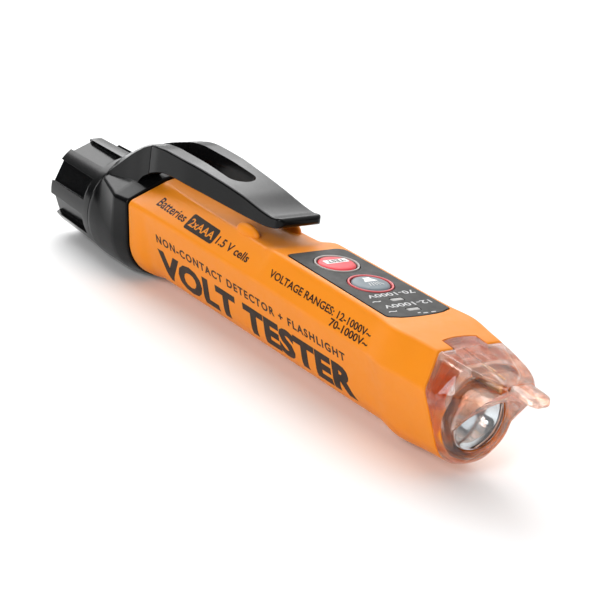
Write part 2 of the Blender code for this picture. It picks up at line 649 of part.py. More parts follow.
def build_battery_bay(materials):
    for name, x in (("battery_front", FRONT_CELL_X), ("battery_rear", REAR_CELL_X)):
        end = x + CELL_LENGTH
        profile = [(0.0, end + CELL_NUB_LENGTH), (1.9, end + CELL_NUB_LENGTH), (1.9, end), (4.9, end),
                   (CELL_RADIUS, end - 0.4), (CELL_RADIUS, x + 0.4), (4.9, x), (0.0, x)]
        finish(turned(name, profile, TUBE_Z, PARTS, 28), materials["cell"])
    sleeve = rod("battery_sleeve", (SLEEVE_REAR_X, 0, TUBE_Z), (SLEEVE_FRONT_X, 0, TUBE_Z), SLEEVE_RADIUS,
                 PARTS, 32)
    sleeve_bore = rod("sleeve_bore_cutter", (-60, 0, TUBE_Z), (15, 0, TUBE_Z), SLEEVE_RADIUS - SLEEVE_WALL,
                      CUTTERS, 32)
    cut(sleeve, sleeve_bore)
    finish(sleeve, materials["dark"])
    board_under = BOARD_TOP_Z - BOARD_THICKNESS
    front = rod("front_contact", (11.8, 0, TUBE_Z), (12.3, 0, TUBE_Z), 4.0, PARTS, 20)
    tab = box("front_contact_tab_stock", (11.8, -1.5, TUBE_Z), (12.3, 1.5, board_under - GAP), CUTTERS)
    fuse(front, tab)
    finish(front, materials["steel"])
    strip = box("negative_strip", (-48.5, -1.5, 4.5), (13.9, 1.5, 4.9), PARTS)
    fuse(strip, box("strip_riser_stock", (13.5, -1.5, 4.5), (13.9, 1.5, board_under - GAP), CUTTERS))
    finish(strip, materials["steel"])


def build_all():
    orange = make_material("orange_shell", (0.95, 0.33, 0.04), 0.45)
    black = make_material("black_plastic", (0.012, 0.012, 0.013), 0.35)
    clear = make_material("clear_nose", (0.95, 0.93, 0.92), 0.05, alpha=0.35)
    steel = make_material("contact_steel", (0.62, 0.62, 0.60), 0.3, 1.0)
    brass = make_material("brass_sheet", (0.75, 0.55, 0.25), 0.35, 1.0)
    board = make_material("board_green", (0.02, 0.16, 0.07), 0.4)
    led = make_material("led_body", (0.9, 0.85, 0.75), 0.25)
    red = make_material("red_rubber", (0.80, 0.04, 0.05), 0.5)
    grey = make_material("grey_rubber", (0.25, 0.28, 0.31), 0.5)
    rubber = make_material("seal_rubber", (0.02, 0.02, 0.02), 0.7)
    build_housing(orange)
    build_panel({
        "panel": make_material("panel_charcoal", (0.035, 0.035, 0.033), 0.55),
        "window": make_material("window_grey", (0.45, 0.45, 0.44), 0.3),
        "power_ring": make_material("ring_grey", (0.35, 0.33, 0.32), 0.5),
        "flashlight_ring": make_material("ring_red", (0.62, 0.08, 0.08), 0.5),
        "led": led})
    build_buttons({"power": red, "flashlight": grey,
                   "switch": make_material("switch_black", (0.03, 0.03, 0.03), 0.5)})
    build_board({"board": board, "chip": make_material("chip_black", (0.02, 0.02, 0.02), 0.4),
                 "brass": brass, "led": led})
    build_torch({"board": board, "led": led, "rubber": rubber,
                 "clear": make_material("lens_clear", (0.9, 0.92, 0.93), 0.03, alpha=0.35),
                 "mirror": make_material("reflector_silver", (0.85, 0.85, 0.86), 0.08, 1.0)})
    build_nose(clear)
    build_collar_and_clip(black)
    build_cap({"black": make_material("cap_plastic", (0.014, 0.014, 0.015), 0.4),
               "rubber": rubber, "steel": steel})
    build_battery_bay({"cell": make_material("cell_wrap", (0.05, 0.10, 0.30), 0.35),
                       "dark": make_material("sleeve_plastic", (0.05, 0.05, 0.05), 0.5), "steel": steel})


build_all()
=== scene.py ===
"""Looks of the pen-style voltage tester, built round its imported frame.

Dimensions are in millimetres and are scaled to metres when a mesh is made."""
import math

import bmesh
import bpy
from mathutils import Matrix, Vector


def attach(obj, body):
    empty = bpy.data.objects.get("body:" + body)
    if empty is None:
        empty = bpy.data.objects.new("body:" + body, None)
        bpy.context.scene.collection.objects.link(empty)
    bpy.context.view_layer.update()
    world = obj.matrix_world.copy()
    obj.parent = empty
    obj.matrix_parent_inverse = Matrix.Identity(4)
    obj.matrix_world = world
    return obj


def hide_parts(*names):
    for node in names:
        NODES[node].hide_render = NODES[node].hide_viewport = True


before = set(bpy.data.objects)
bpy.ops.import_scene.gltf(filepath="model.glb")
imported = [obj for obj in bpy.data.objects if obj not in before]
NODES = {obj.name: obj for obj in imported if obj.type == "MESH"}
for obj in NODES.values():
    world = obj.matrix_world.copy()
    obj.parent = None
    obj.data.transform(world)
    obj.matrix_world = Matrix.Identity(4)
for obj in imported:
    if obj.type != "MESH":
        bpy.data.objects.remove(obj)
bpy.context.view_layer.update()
MM = 0.001

TUBE_Z = 12.15
LENS_Z = 13.15
PANEL_Z = 27.65
SEAM_Z = 20.0
SEAM_X = 65.0
SEAM_GAP = 0.3
BUTTONS = {"power": 15.95, "flashlight": 28.35}
WINDOWS = {"high_range": 37.65, "low_range": 43.35}
CLIP_SEAM_X = -49.85
CAP_POCKETS = 8
TONGUE_HALF = 2.75
SHARP_ANGLE = 35.0
FLOOR_Z = -0.00005
STUDIO_AIM = (0.0, 0.0, 0.02)
CAMERA_DISTANCE = 500.0


# ---------------------------------------------------------------- sections
def station(x, crest, flat, shoulder, wide, belly):
    """Cross-section: the crest's height, the top's half-width and its edge's height, the widest
    point, and the belly's radius and centre height."""
    return (x, crest, flat, shoulder, wide[0], wide[1], belly[0], belly[1])


HOUSING = [
    station(-50.0, 25.35, 2.0, 24.9, (12.3, 20.6), (11.0, 12.05)),
    station(-47.0, 25.5, 3.0, 25.1, (12.1, 20.5), (10.6, 11.9)),
    station(-43.5, 25.7, 4.2, 25.4, (11.9, 20.3), (8.8, 10.75)),
    station(-20.0, 26.3, 6.4, 26.1, (11.8, 20.2), (8.6, 10.5)),
    station(-1.0, 26.5, 7.2, 26.35, (11.8, 20.2), (8.6, 10.5)),
    station(5.0, 27.55, 8.7, 27.45, (11.9, 20.2), (8.6, 10.5)),
    station(30.0, 27.6, 9.1, 27.5, (12.0, 20.0), (8.6, 10.5)),
    station(43.5, 27.6, 9.5, 27.5, (12.1, 19.9), (8.6, 10.6)),
    station(50.5, 27.6, 10.3, 27.5, (13.0, 19.6), (8.5, 9.35)),
    station(58.5, 27.25, 8.9, 27.2, (12.9, 19.9), (8.2, 9.8)),
    station(66.0, 26.75, 7.8, 26.6, (12.6, 20.1), (8.0, 10.1)),
]
NOSE = [
    station(57.5, 27.3, 9.1, 27.2, (12.9, 19.9), (8.2, 9.75)),
    station(65.0, 26.8, 7.9, 26.7, (12.7, 20.1), (8.0, 9.95)),
    station(67.0, 26.65, 7.6, 26.5, (12.2, 20.0), (7.9, 10.65)),
    station(68.5, 26.5, 7.4, 26.35, (11.5, 19.9), (7.85, 11.5)),
    station(69.7, 26.4, 7.2, 26.2, (10.4, 19.8), (7.8, 13.05)),
    station(71.5, 26.25, 7.0, 26.0, (9.2, 20.0), (7.3, 13.4)),
    station(74.0, 26.0, 6.3, 25.75, (8.2, 20.3), (6.6, 14.6)),
    station(77.0, 25.7, 5.0, 25.4, (6.5, 20.9), (5.0, 17.2)),
    station(79.5, 25.4, 3.2, 25.2, (4.4, 21.6), (3.2, 19.8)),
]
COLLAR = [
    station(-67.05, 24.6, 2.0, 24.45, (8.4, 21.4), (12.5, 12.15)),
    station(-65.5, 24.9, 2.4, 24.75, (9.6, 21.0), (12.6, 12.15)),
    station(-55.5, 26.6, 2.6, 26.2, (13.0, 20.4), (12.5, 12.15)),
    station(-50.3, 25.8, 2.2, 25.4, (12.6, 20.7), (11.4, 12.1)),
]
# x, height and half-width of the hood's top, height and half-width of its side
ARCH = [
    (-67.05, 25.6, 2.6, 21.4, 8.4),
    (-65.0, 27.3, 2.4, 23.4, 8.0),
    (-62.0, 29.2, 2.4, 25.9, 7.7),
    (-59.0, 30.9, 2.6, 28.4, 7.5),
    (-56.0, 32.1, 3.4, 30.6, 7.4),
    (-53.0, 33.1, 5.0, 32.3, 7.3),
    (-50.15, 33.95, 6.9, 33.6, 7.3),
]


def slopes(xs, ys):
    """Slopes of the monotone cubic through the points."""
    chords = [(ys[i + 1] - ys[i]) / (xs[i + 1] - xs[i]) for i in range(len(xs) - 1)]
    result = [chords[0]]
    for left, right in zip(chords, chords[1:]):
        result.append(0.0 if left * right <= 0 else 2.0 * left * right / (left + right))
    return result + [chords[-1]]


def cubic(xs, ys, x):
    """Value at x of the monotone cubic through the points."""
    x = min(max(x, xs[0]), xs[-1])
    grades = slopes(xs, ys)
    i = max(k for k in range(len(xs) - 1) if xs[k] <= x)
    span = xs[i + 1] - xs[i]
    t = (x - xs[i]) / span
    return (ys[i] * (1 + 2 * t) * (1 - t) ** 2 + grades[i] * span * t * (1 - t) ** 2
            + ys[i + 1] * t * t * (3 - 2 * t) + grades[i + 1] * span * t * t * (t - 1))


def at(rows, x):
    """Row of a station table at any x."""
    xs = [row[0] for row in rows]
    return tuple([x] + [cubic(xs, [row[k] for row in rows], x) for k in range(1, len(rows[0]))])


def straight(rows, x):
    """Row of a station table at any x, with straight runs between the stations."""
    i = max(k for k in range(len(rows) - 1) if rows[k][0] <= x + 1e-9)
    t = (x - rows[i][0]) / (rows[i + 1][0] - rows[i][0])
    return tuple(a + (b - a) * t for a, b in zip(rows[i], rows[i + 1]))


def fillet(before, corner, after, radius, steps):
    """Points of the arc that rounds a corner between two straight edges."""
    corner = Vector(corner)
    to_before = (Vector(before) - corner).normalized()
    to_after = (Vector(after) - corner).normalized()
    half = to_before.angle(to_after) / 2.0
    centre = corner + (to_before + to_after).normalized() * (radius / math.sin(half))
    start = corner + to_before * (radius / math.tan(half)) - centre
    end = corner + to_after * (radius / math.tan(half)) - centre
    sweep = start.angle_signed(end)
    points = []
    for step in range(steps + 1):
        turned_arm = start.copy()
        turned_arm.rotate(Matrix.Rotation(-sweep * step / steps, 2))
        points.append(tuple(centre + turned_arm))
    return points


def half_ring(row, inset=0.0, top_inset=None):
    """Right-hand half of a cross-section from the crest to the underside, as (y, z)."""
    _, crest, flat, shoulder, wide_y, wide_z, belly, belly_z = row
    top_inset = inset if top_inset is None else top_inset
    top = (0.0, crest - top_inset)
    corner = (flat - inset * 0.6, shoulder - top_inset)
    wide = (wide_y - inset, wide_z - inset * 0.4)
    radius = belly - inset
    reach = math.hypot(wide[0], wide[1] - belly_z)
    turn = math.atan2(wide[1] - belly_z, wide[0]) - math.acos(min(1.0, radius / reach))
    tangent = (radius * math.cos(turn), belly_z + radius * math.sin(turn))
    points = [(corner[0] * k / 4.0 * 0.8, top[1] + (corner[1] - top[1]) * k / 4.0 * 0.8) for k in range(4)]
    points += fillet(top, corner, wide, 1.2, 7)
    for k in (0.35, 0.65):
        points.append((corner[0] + (wide[0] - corner[0]) * k, corner[1] + (wide[1] - corner[1]) * k))
    points += fillet(corner, wide, tangent, 1.6, 8)
    for k in (0.35, 0.65):
        points.append((wide[0] + (tangent[0] - wide[0]) * k, wide[1] + (tangent[1] - wide[1]) * k))
    for step in range(25):
        angle = turn + (-math.pi / 2.0 - turn) * step / 24
        points.append((radius * math.cos(angle), max(0.0, belly_z + radius * math.sin(angle))))
    return points


def ring(row, inset=0.0, top_inset=None):
    """Whole cross-section at its place along the tester."""
    half = half_ring(row, inset, top_inset)
    return [(row[0], y, z) for y, z in half + [(-y, z) for y, z in reversed(half[1:-1])]]


def seam_x(z):
    """Front edge of the housing: upright below, leaning back towards the top."""
    return SEAM_X - 0.36 * max(0.0, z - SEAM_Z)


def seam_ring(rows, x, inset=0.0, share=1.0):
    """Cross-section whose points lean back with the seam; share 0 leaves it upright."""
    points = []
    for k in range(len(ring(at(rows, x)))):
        place = x
        for _ in range(3):
            _, y, z = ring(at(rows, place), inset)[k]
            place = x + (seam_x(z) - SEAM_X) * share
        points.append((place, y, z))
    return points


# ---------------------------------------------------------------- meshes
def smooth(mesh):
    """Smooth shading with sharp edges kept."""
    mesh.shade_smooth()
    mesh.set_sharp_from_angle(angle=math.radians(SHARP_ANGLE))


def new_object(name, shape, body=None, material=None, slot=None):
    """Turns a bmesh in millimetres into an object, and into a piece where a body is given."""
    bmesh.ops.scale(shape, vec=(MM, MM, MM), verts=shape.verts)
    bmesh.ops.recalc_face_normals(shape, faces=shape.faces)
    mesh = bpy.data.meshes.new(name)
    shape.to_mesh(mesh)
    shape.free()
    item = bpy.data.objects.new(name, mesh)
    bpy.context.scene.collection.objects.link(item)
    smooth(mesh)
    if material is not None:
        mesh.materials.clear()
        mesh.materials.append(material)
    if body is not None:
        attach(item, body)
    return item


def lofted(name, rings):
    """Skins closed loops into a solid."""
    shape = bmesh.new()
    rows = [[shape.verts.new(point) for point in loop] for loop in rings]
    count = len(rings[0])
    for near, far in zip(rows, rows[1:]):
        for i in range(count):
            j = (i + 1) % count
            shape.faces.new((near[i], near[j], far[j], far[i]))
    shape.faces.new(rows[0])
    shape.faces.new(rows[-1])
    return new_object(name, shape)


def prism(name, outline, low, high, axis="Z"):
    """Outline drawn straight through from one level to another."""
    shape = bmesh.new()
    order = {"Y": (0, 2, 1), "Z": (0, 1, 2)}[axis]
    rows = []
    for level in (low, high):
        rows.append([shape.verts.new([(a, b, level)[k] for k in order]) for a, b in outline])
    count = len(outline)
    for i in range(count):
        j = (i + 1) % count
        shape.faces.new((rows[0][i], rows[0][j], rows[1][j], rows[1][i]))
    shape.faces.new(rows[0])
    shape.faces.new(rows[1])
    return new_object(name, shape)


def turned(name, profile, axis_z, steps=72, closed=False, **piece):
    """Solid of revolution about a line along X. The profile lists (radius, place along the axis)."""
    return revolved(name, profile, steps, closed, lambda along, a, b: (along, a, axis_z + b), **piece)


def turned_upright(name, profile, x, steps=72, closed=False, **piece):
    """Solid of revolution about an upright line over the middle of the tester."""
    return revolved(name, profile, steps, closed, lambda along, a, b: (x + a, b, along), **piece)


def revolved(name, profile, steps, closed, place, **piece):
    """Turns a profile round a line; place(along, a, b) says where the line is."""
    shape = bmesh.new()
    rows = []
    for radius, along in profile:
        row = []
        for k in range(steps if radius > 1e-6 else 1):
            angle = 2 * math.pi * k / steps
            a, b = radius * math.cos(angle), radius * math.sin(angle)
            row.append(shape.verts.new(place(along, a, b)))
        rows.append(row)
    pairs = list(zip(rows, rows[1:]))
    if closed:
        pairs.append((rows[-1], rows[0]))
    for near, far in pairs:
        for k in range(steps):
            n = (k + 1) % steps
            corners = [near[k % len(near)], near[n % len(near)], far[n % len(far)], far[k % len(far)]]
            unique = []
            for corner in corners:
                if corner not in unique:
                    unique.append(corner)
            if len(unique) > 2:
                shape.faces.new(unique)
    return new_object(name, shape, **piece)


def combine(item, other, operation="DIFFERENCE"):
    """Applies a Boolean and removes the other object."""
    modifier = item.modifiers.new("Boolean", "BOOLEAN")
    modifier.operation = operation
    modifier.solver = "EXACT"
    modifier.object = other
    apply_modifiers(item)
    smooth(item.data)
    bpy.data.objects.remove(other, do_unlink=True)


def apply_modifiers(item):
    """Puts the evaluated mesh in place of an object's mesh and modifiers."""
    bpy.context.view_layer.update()
    graph = bpy.context.evaluated_depsgraph_get()
    mesh = bpy.data.meshes.new_from_object(item.evaluated_get(graph), depsgraph=graph)
    item.modifiers.clear()
    item.data = mesh


def bevel(item, width, segments, angle):
    """Rounds an object's hard edges and keeps its flat faces flat in shading."""
    modifier = item.modifiers.new("Bevel", "BEVEL")
    modifier.width = width * MM
    modifier.segments = segments
    modifier.limit_method = "ANGLE"
    modifier.angle_limit = math.radians(angle)
    modifier.use_clamp_overlap = True
    item.data.shade_smooth()
    flatten = item.modifiers.new("Flat faces", "WEIGHTED_NORMAL")
    flatten.mode = "FACE_AREA"
    flatten.weight = 100
    apply_modifiers(item)


def dress(item, body, material, slot, *replaced):
    """Gives a finished shape its body, finish and the nodes it stands for."""
    item.data.materials.clear()
    item.data.materials.append(material)
    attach(item, body)
    if replaced:
        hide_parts(*replaced)
    return item


# ---------------------------------------------------------------- materials
class Nodes:
    """Small helper that adds and links shader nodes."""

    def __init__(self, name):
        self.material = bpy.data.materials.new(name)
        self.material.use_nodes = True
        self.tree = self.material.node_tree
        self.shader = self.tree.nodes["Principled BSDF"]
        self.place = self.tree.nodes.new("ShaderNodeTexCoord").outputs["Object"]

    def add(self, kind):
        return self.tree.nodes.new(kind)

    def link(self, out, into):
        self.tree.links.new(out, into)

    def noise(self, scale, detail=2.0, rough=0.5):
        node = self.add("ShaderNodeTexNoise")
        node.inputs["Scale"].default_value = scale
        node.inputs["Detail"].default_value = detail
        node.inputs["Roughness"].default_value = rough
        self.link(self.place, node.inputs["Vector"])
        return node.outputs["Fac"]

    def spread(self, source, low, high, start=0.3, end=0.7):
        node = self.add("ShaderNodeMapRange")
        for key, value in (("From Min", start), ("From Max", end), ("To Min", low), ("To Max", high)):
            node.inputs[key].default_value = value
        self.link(source, node.inputs["Value"])
        return node.outputs["Result"]

    def stretch(self, scale):
        """Stretches the pattern's space for the textures that follow."""
        mapping = self.add("ShaderNodeMapping")
        mapping.inputs["Scale"].default_value = scale
        self.link(self.place, mapping.inputs["Vector"])
        self.place = mapping.outputs["Vector"]

    def mix(self, factor, first, second):
        """Colour that runs from the first to the second with the factor."""
        node = self.add("ShaderNodeMix")
        node.data_type = "RGBA"
        colours = [s for s in node.inputs if s.type == "RGBA"]
        colours[0].default_value = (*first, 1.0)
        colours[1].default_value = (*second, 1.0)
        self.link(factor, node.inputs[0])
        return [s for s in node.outputs if s.type == "RGBA"][0]

    def bump(self, height, strength, distance):
        node = self.add("ShaderNodeBump")
        node.inputs["Strength"].default_value = strength
        node.inputs["Distance"].default_value = distance
        self.link(height, node.inputs["Height"])
        self.link(node.outputs["Normal"], self.shader.inputs["Normal"])


def plastic(name, colour, roughness, grain=5200.0, bump=0.12, vary=0.06, specular=0.5, sub=0.0):
    """Moulded plastic: spark-eroded grain, faint flow variation and uneven gloss."""
    made = Nodes(name)
    shader = made.shader
    flow = made.noise(70.0, 3.0, 0.6)
    darker = tuple(c * (1.0 - vary) for c in colour)
    lighter = tuple(min(1.0, c * (1.0 + vary)) for c in colour)
    made.link(made.mix(made.spread(flow, 0.0, 1.0), darker, lighter), shader.inputs["Base Color"])
    gloss = made.noise(420.0, 4.0, 0.6)
    made.link(made.spread(gloss, roughness * 0.88, roughness * 1.12), shader.inputs["Roughness"])
    fine = made.noise(grain, 3.0, 0.65)
    made.bump(fine, bump, 0.00004)
    shader.inputs["Specular IOR Level"].default_value = specular
    if sub > 0:
        shader.inputs["Subsurface Weight"].default_value = sub
        shader.inputs["Subsurface Radius"].default_value = (0.004, 0.0015, 0.0005)
        shader.inputs["Subsurface Scale"].default_value = 0.5
    return made.material


def moulded_clear(name):
    """Clear moulding that carries the shell's orange: soft, with flow marks along its length."""
    made = Nodes(name)
    shader = made.shader
    made.stretch((0.35, 1.0, 1.0))
    flow = made.noise(420.0, 2.0, 0.5)
    made.link(made.mix(made.spread(flow, 0.0, 1.0, 0.39, 0.59), (0.88, 0.84, 0.82), (0.90, 0.40, 0.22)),
              shader.inputs["Base Color"])
    made.link(made.spread(flow, 0.05, 0.09), shader.inputs["Roughness"])
    made.bump(made.noise(300.0, 2.0, 0.5), 0.12, 0.00008)
    shader.inputs["Transmission Weight"].default_value = 0.94
    shader.inputs["IOR"].default_value = 1.5
    through = made.add("ShaderNodeBsdfTransparent")
    through.inputs["Color"].default_value = (0.95, 0.82, 0.75, 1.0)
    both = made.add("ShaderNodeMixShader")
    both.inputs["Fac"].default_value = 0.3
    made.link(shader.outputs["BSDF"], both.inputs[1])
    made.link(through.outputs["BSDF"], both.inputs[2])
    made.link(both.outputs["Shader"], made.tree.nodes["Material Output"].inputs["Surface"])
    return made.material


def lens_clear(name):
    """Thick clear lens with a breath of haze: what it shows is the cup behind it and the light."""
    made = Nodes(name)
    shader = made.shader
    haze = made.noise(700.0, 3.0, 0.6)
    made.link(made.mix(made.spread(haze, 0.0, 1.0), (0.93, 0.96, 0.97), (0.97, 0.98, 0.98)),
              shader.inputs["Base Color"])
    made.link(made.spread(haze, 0.015, 0.035), shader.inputs["Roughness"])
    made.bump(made.noise(240.0, 2.0, 0.5), 0.03, 0.00004)
    shader.inputs["Transmission Weight"].default_value = 1.0
    shader.inputs["IOR"].default_value = 1.49
    return made.material


def metal(name, colour, roughness, scale=900.0, bump=0.08, stretch=None):
    """Plated or drawn metal with fine scratches."""
    made = Nodes(name)
    shader = made.shader
    if stretch is not None:
        made.stretch(stretch)
    marks = made.noise(scale, 5.0, 0.7)
    made.link(made.mix(made.spread(marks, 0.0, 1.0), tuple(c * 0.9 for c in colour), colour),
              shader.inputs["Base Color"])
    made.link(made.spread(marks, roughness * 0.8, roughness * 1.3), shader.inputs["Roughness"])
    made.bump(marks, bump, 0.00002)
    shader.inputs["Metallic"].default_value = 1.0
    return made.material


ORANGE = plastic("orange_shell", (0.80, 0.245, 0.010), 0.42, bump=0.10, vary=0.02, specular=0.2, sub=0.1)
BLACK = plastic("black_plastic", (0.004, 0.0042, 0.0045), 0.2, grain=4200.0, bump=0.06, vary=0.1,
                specular=0.12)
CAP_BLACK = plastic("cap_plastic", (0.004, 0.0042, 0.0045), 0.2, grain=3600.0, bump=0.08, vary=0.1,
                    specular=0.24)
PANEL = plastic("panel_charcoal", (0.022, 0.021, 0.019), 0.5, grain=7000.0, bump=0.08, vary=0.06,
                specular=0.2)
RED = plastic("red_button", (0.72, 0.035, 0.05), 0.42, grain=6500.0, bump=0.06, vary=0.03, specular=0.3)
GREY = plastic("grey_button", (0.14, 0.175, 0.20), 0.40, grain=6500.0, bump=0.06, vary=0.04, specular=0.3)
RING_GREY = plastic("grey_ring", (0.36, 0.33, 0.31), 0.4, grain=6500.0, bump=0.05, vary=0.04)
RING_RED = plastic("red_ring", (0.66, 0.09, 0.10), 0.4, grain=6500.0, bump=0.05, vary=0.04)
WINDOW = plastic("window", (0.27, 0.26, 0.25), 0.3, grain=3000.0, bump=0.05, vary=0.05)
INK = plastic("black_print", (0.022, 0.014, 0.010), 0.5, grain=9000.0, bump=0.04, vary=0.08, specular=0.2)
INK_BROWN = plastic("dark_print", (0.030, 0.012, 0.007), 0.5, grain=9000.0, bump=0.04, vary=0.08,
                    specular=0.2)
INK_WHITE = plastic("white_print", (0.86, 0.85, 0.83), 0.45, grain=9000.0, bump=0.04, vary=0.03, specular=0.2)
INK_GREY = plastic("grey_print", (0.55, 0.55, 0.55), 0.45, grain=9000.0, bump=0.04, vary=0.03, specular=0.2)
NOSE_CLEAR = moulded_clear("clear_nose")
LENS_CLEAR = lens_clear("clear_lens")
MIRROR = metal("reflector_silver", (0.86, 0.88, 0.90), 0.12, 1500.0, 0.0)
STEEL = metal("contact_steel", (0.62, 0.62, 0.60), 0.28, 900.0, 0.1, (0.2, 1.0, 1.0))
BRASS = metal("brass_sheet", (0.78, 0.56, 0.25), 0.30, 900.0, 0.1)
RUBBER = plastic("seal_rubber", (0.02, 0.02, 0.02), 0.62, grain=2600.0, bump=0.2, vary=0.15)
BOARD = plastic("board_green", (0.02, 0.15, 0.06), 0.35, grain=1500.0, bump=0.15, vary=0.12)
CHIP = plastic("chip_black", (0.02, 0.02, 0.022), 0.45, grain=3000.0, bump=0.12, vary=0.1)
LED = plastic("led_body", (0.90, 0.85, 0.68), 0.22, grain=2500.0, bump=0.05, vary=0.05)
SLEEVE = plastic("sleeve_plastic", (0.05, 0.05, 0.05), 0.5, grain=2200.0, bump=0.15, vary=0.1)
CELL = plastic("cell_wrap", (0.05, 0.10, 0.32), 0.28, grain=1800.0, bump=0.05, vary=0.08)


# ---------------------------------------------------------------- housing
def panel_outline(grow, fine):
    """Plan of the button panel: rounded corners, bowed front edge, one larger corner."""
    rear, front = 7.7 - grow, 45.6 + grow
    half_rear, half_front = 7.5 + grow, 8.2 + grow
    points = fillet((front, -half_front), (rear, -half_rear), (rear, half_rear), 1.2, 3 * fine)
    points += fillet((rear, -half_rear), (rear, half_rear), (front, half_front), 2.4, 4 * fine)
    points += fillet((rear, half_rear), (front, half_front), (front, 0.0), 1.2, 3 * fine)
    for step in range(1, 12):
        across = half_front * (1.0 - step / 6.0) * 0.8
        points.append((front + 1.3 * (1.0 - (across / half_front) ** 2), across))
    points += fillet((front, 0.0), (front, -half_front), (rear, -half_rear), 1.2, 3 * fine)
    return points


def tab_outline(grow):
    """Plan of the nose's tab: a bowed rear edge and straight sides."""
    half, rear = 4.2 + grow, 58.4 - grow
    points = []
    for step in range(13):
        across = half * (1.0 - step / 6.0)
        points.append((rear + 0.7 * (across / half) ** 2, across))
    return points + [(67.5, -half), (67.5, half)]


def build_housing():
    """Orange shell: faceted barrel and head, front bore, neck, ribs and its openings."""
    rings = [ring(at(HOUSING, -50.0), 0.3), ring(at(HOUSING, -49.85), 0.08), ring(at(HOUSING, -49.6))]
    rings += [ring(at(HOUSING, -49.0 + k)) for k in range(103)]
    for k in range(10):
        share = k / 9.0
        place = 54.0 + 10.75 * share
        rings.append(seam_ring(HOUSING, place, 0.0, share))
    rings.append(seam_ring(HOUSING, SEAM_X - 0.07, 0.06))
    rings.append(seam_ring(HOUSING, SEAM_X, 0.22))
    item = lofted("shell", rings)
    notch = prism("notch", tab_outline(0.3), 24.2, 31.0)
    combine(item, notch)
    recess = prism("recess", panel_outline(0.25, 2), PANEL_Z - 1.1, 31.0)
    combine(item, recess)
    bore = turned("front_bore", [(0.0, 56.5), (8.5, 56.5), (8.5, 68.0), (0.0, 68.0)], LENS_Z)
    combine(item, bore)
    neck = turned("neck", [(0.0, -66.5), (10.2, -66.5), (10.4, -66.3), (10.4, -49.0), (0.0, -49.0)], TUBE_Z)
    combine(item, neck, "UNION")
    for side in (-1.0, 1.0):
        combine(item, clip_rib(side), "UNION")
    hollow_housing(item)
    item.name = "housing_shell"
    return dress(item, "tester", ORANGE, "orange_shell", "main_housing")


def clip_rib(side):
    """Low rounded rib on the shell beside the tip of the clip."""
    shape = bmesh.new()
    bmesh.ops.create_uvsphere(shape, u_segments=32, v_segments=20, radius=1.0)
    bmesh.ops.scale(shape, vec=(4.2, 1.5, 2.1), verts=shape.verts)
    bmesh.ops.translate(shape, vec=(-10.0, side * 5.6, 26.2), verts=shape.verts)
    return new_object("rib", shape)


def hollow_housing(item):
    """Opens the shell for the cells, the board, the sensing strip, the buttons and the windows."""
    cavity = []
    for row in HOUSING[1:-1]:
        cavity.append(ring(row, 1.9, 2.6 if row[0] < 45.0 else 3.4))
    cavity[-1] = [(56.8, y, min(z, 22.6)) for _, y, z in cavity[-1]]
    combine(item, lofted("cavity", cavity))
    combine(item, prism("antenna_way", [(56.0, -1.9), (67.0, -1.9), (67.0, 1.9), (56.0, 1.9)], 20.0, 23.35))
    for x in BUTTONS.values():
        hole = [(0.0, 20.0), (4.5, 20.0), (4.5, 30.0), (0.0, 30.0)]
        combine(item, turned_upright("button_hole", hole, x, 48))
    for x in WINDOWS.values():
        combine(item, prism("window_hole", rounded_box(x, 0.0, 0.95, 1.8, 0.3), 20.0, 30.0))
    combine(item, turned("neck_bore", [(0.0, -70.0), (9.2, -70.0), (9.2, -46.0), (0.0, -46.0)], TUBE_Z))


def build_nose():
    """Clear nose: a hollow dome with a slanted visor, a tab on top, a lens tube and the tongue."""
    rear = SEAM_X + SEAM_GAP
    rings = [seam_ring(NOSE, rear, 0.25), seam_ring(NOSE, rear + 0.06, 0.07), seam_ring(NOSE, rear + 0.2)]
    for k in range(1, 6):
        rings.append(seam_ring(NOSE, rear + 0.2 + 0.3 * k, 0.0, 1.0 - k / 5.0))
    x = 67.3
    while x < 79.5:
        rings.append(ring(at(NOSE, x)))
        x += 0.3
    item = lofted("nose_outer", rings)
    slant, top, slant_x, face = 0.8, 26.5, 70.45, 69.6
    visor = [(face, -5), (face, LENS_Z - (slant_x - face) / slant),
             (slant_x + slant * (top - LENS_Z), top), (95, top), (95, -5)]
    combine(item, prism("visor", visor, -20, 20, "Y"))
    cavity_rings = [ring(at(NOSE, min(x, 79.0)), 2.1) for x in (57.6, 60.0, 63.0, 66.0, 67.2, 68.2)]
    cavity = lofted("nose_cavity", cavity_rings)
    combine(cavity, turned("cavity_tube", [(0.0, 50.0), (9.5, 50.0), (9.5, 90.0), (0.0, 90.0)], LENS_Z))
    combine(item, cavity)
    tab = prism("tab", tab_outline(0.0), 24.5, 27.9)
    tab_top = lofted("tab_top", [ring(at(NOSE, 57.6 + k)) for k in range(11)])
    combine(tab, tab_top, "INTERSECT")
    combine(item, tab, "UNION")
    spigot = turned("spigot", [(0.0, 60.3), (8.0, 60.3), (8.2, 60.5), (8.2, 67.0), (0.0, 67.0)], LENS_Z)
    combine(item, spigot, "UNION")
    combine(item, build_tongue(), "UNION")
    bore = turned("lens_bore", [(0.0, 58.0), (7.2, 58.0), (7.2, 90.0), (0.0, 90.0)], LENS_Z)
    combine(item, bore)
    item.name = "nose_clear"
    return dress(item, "tester", NOSE_CLEAR, "clear_nose", "nose_lens")


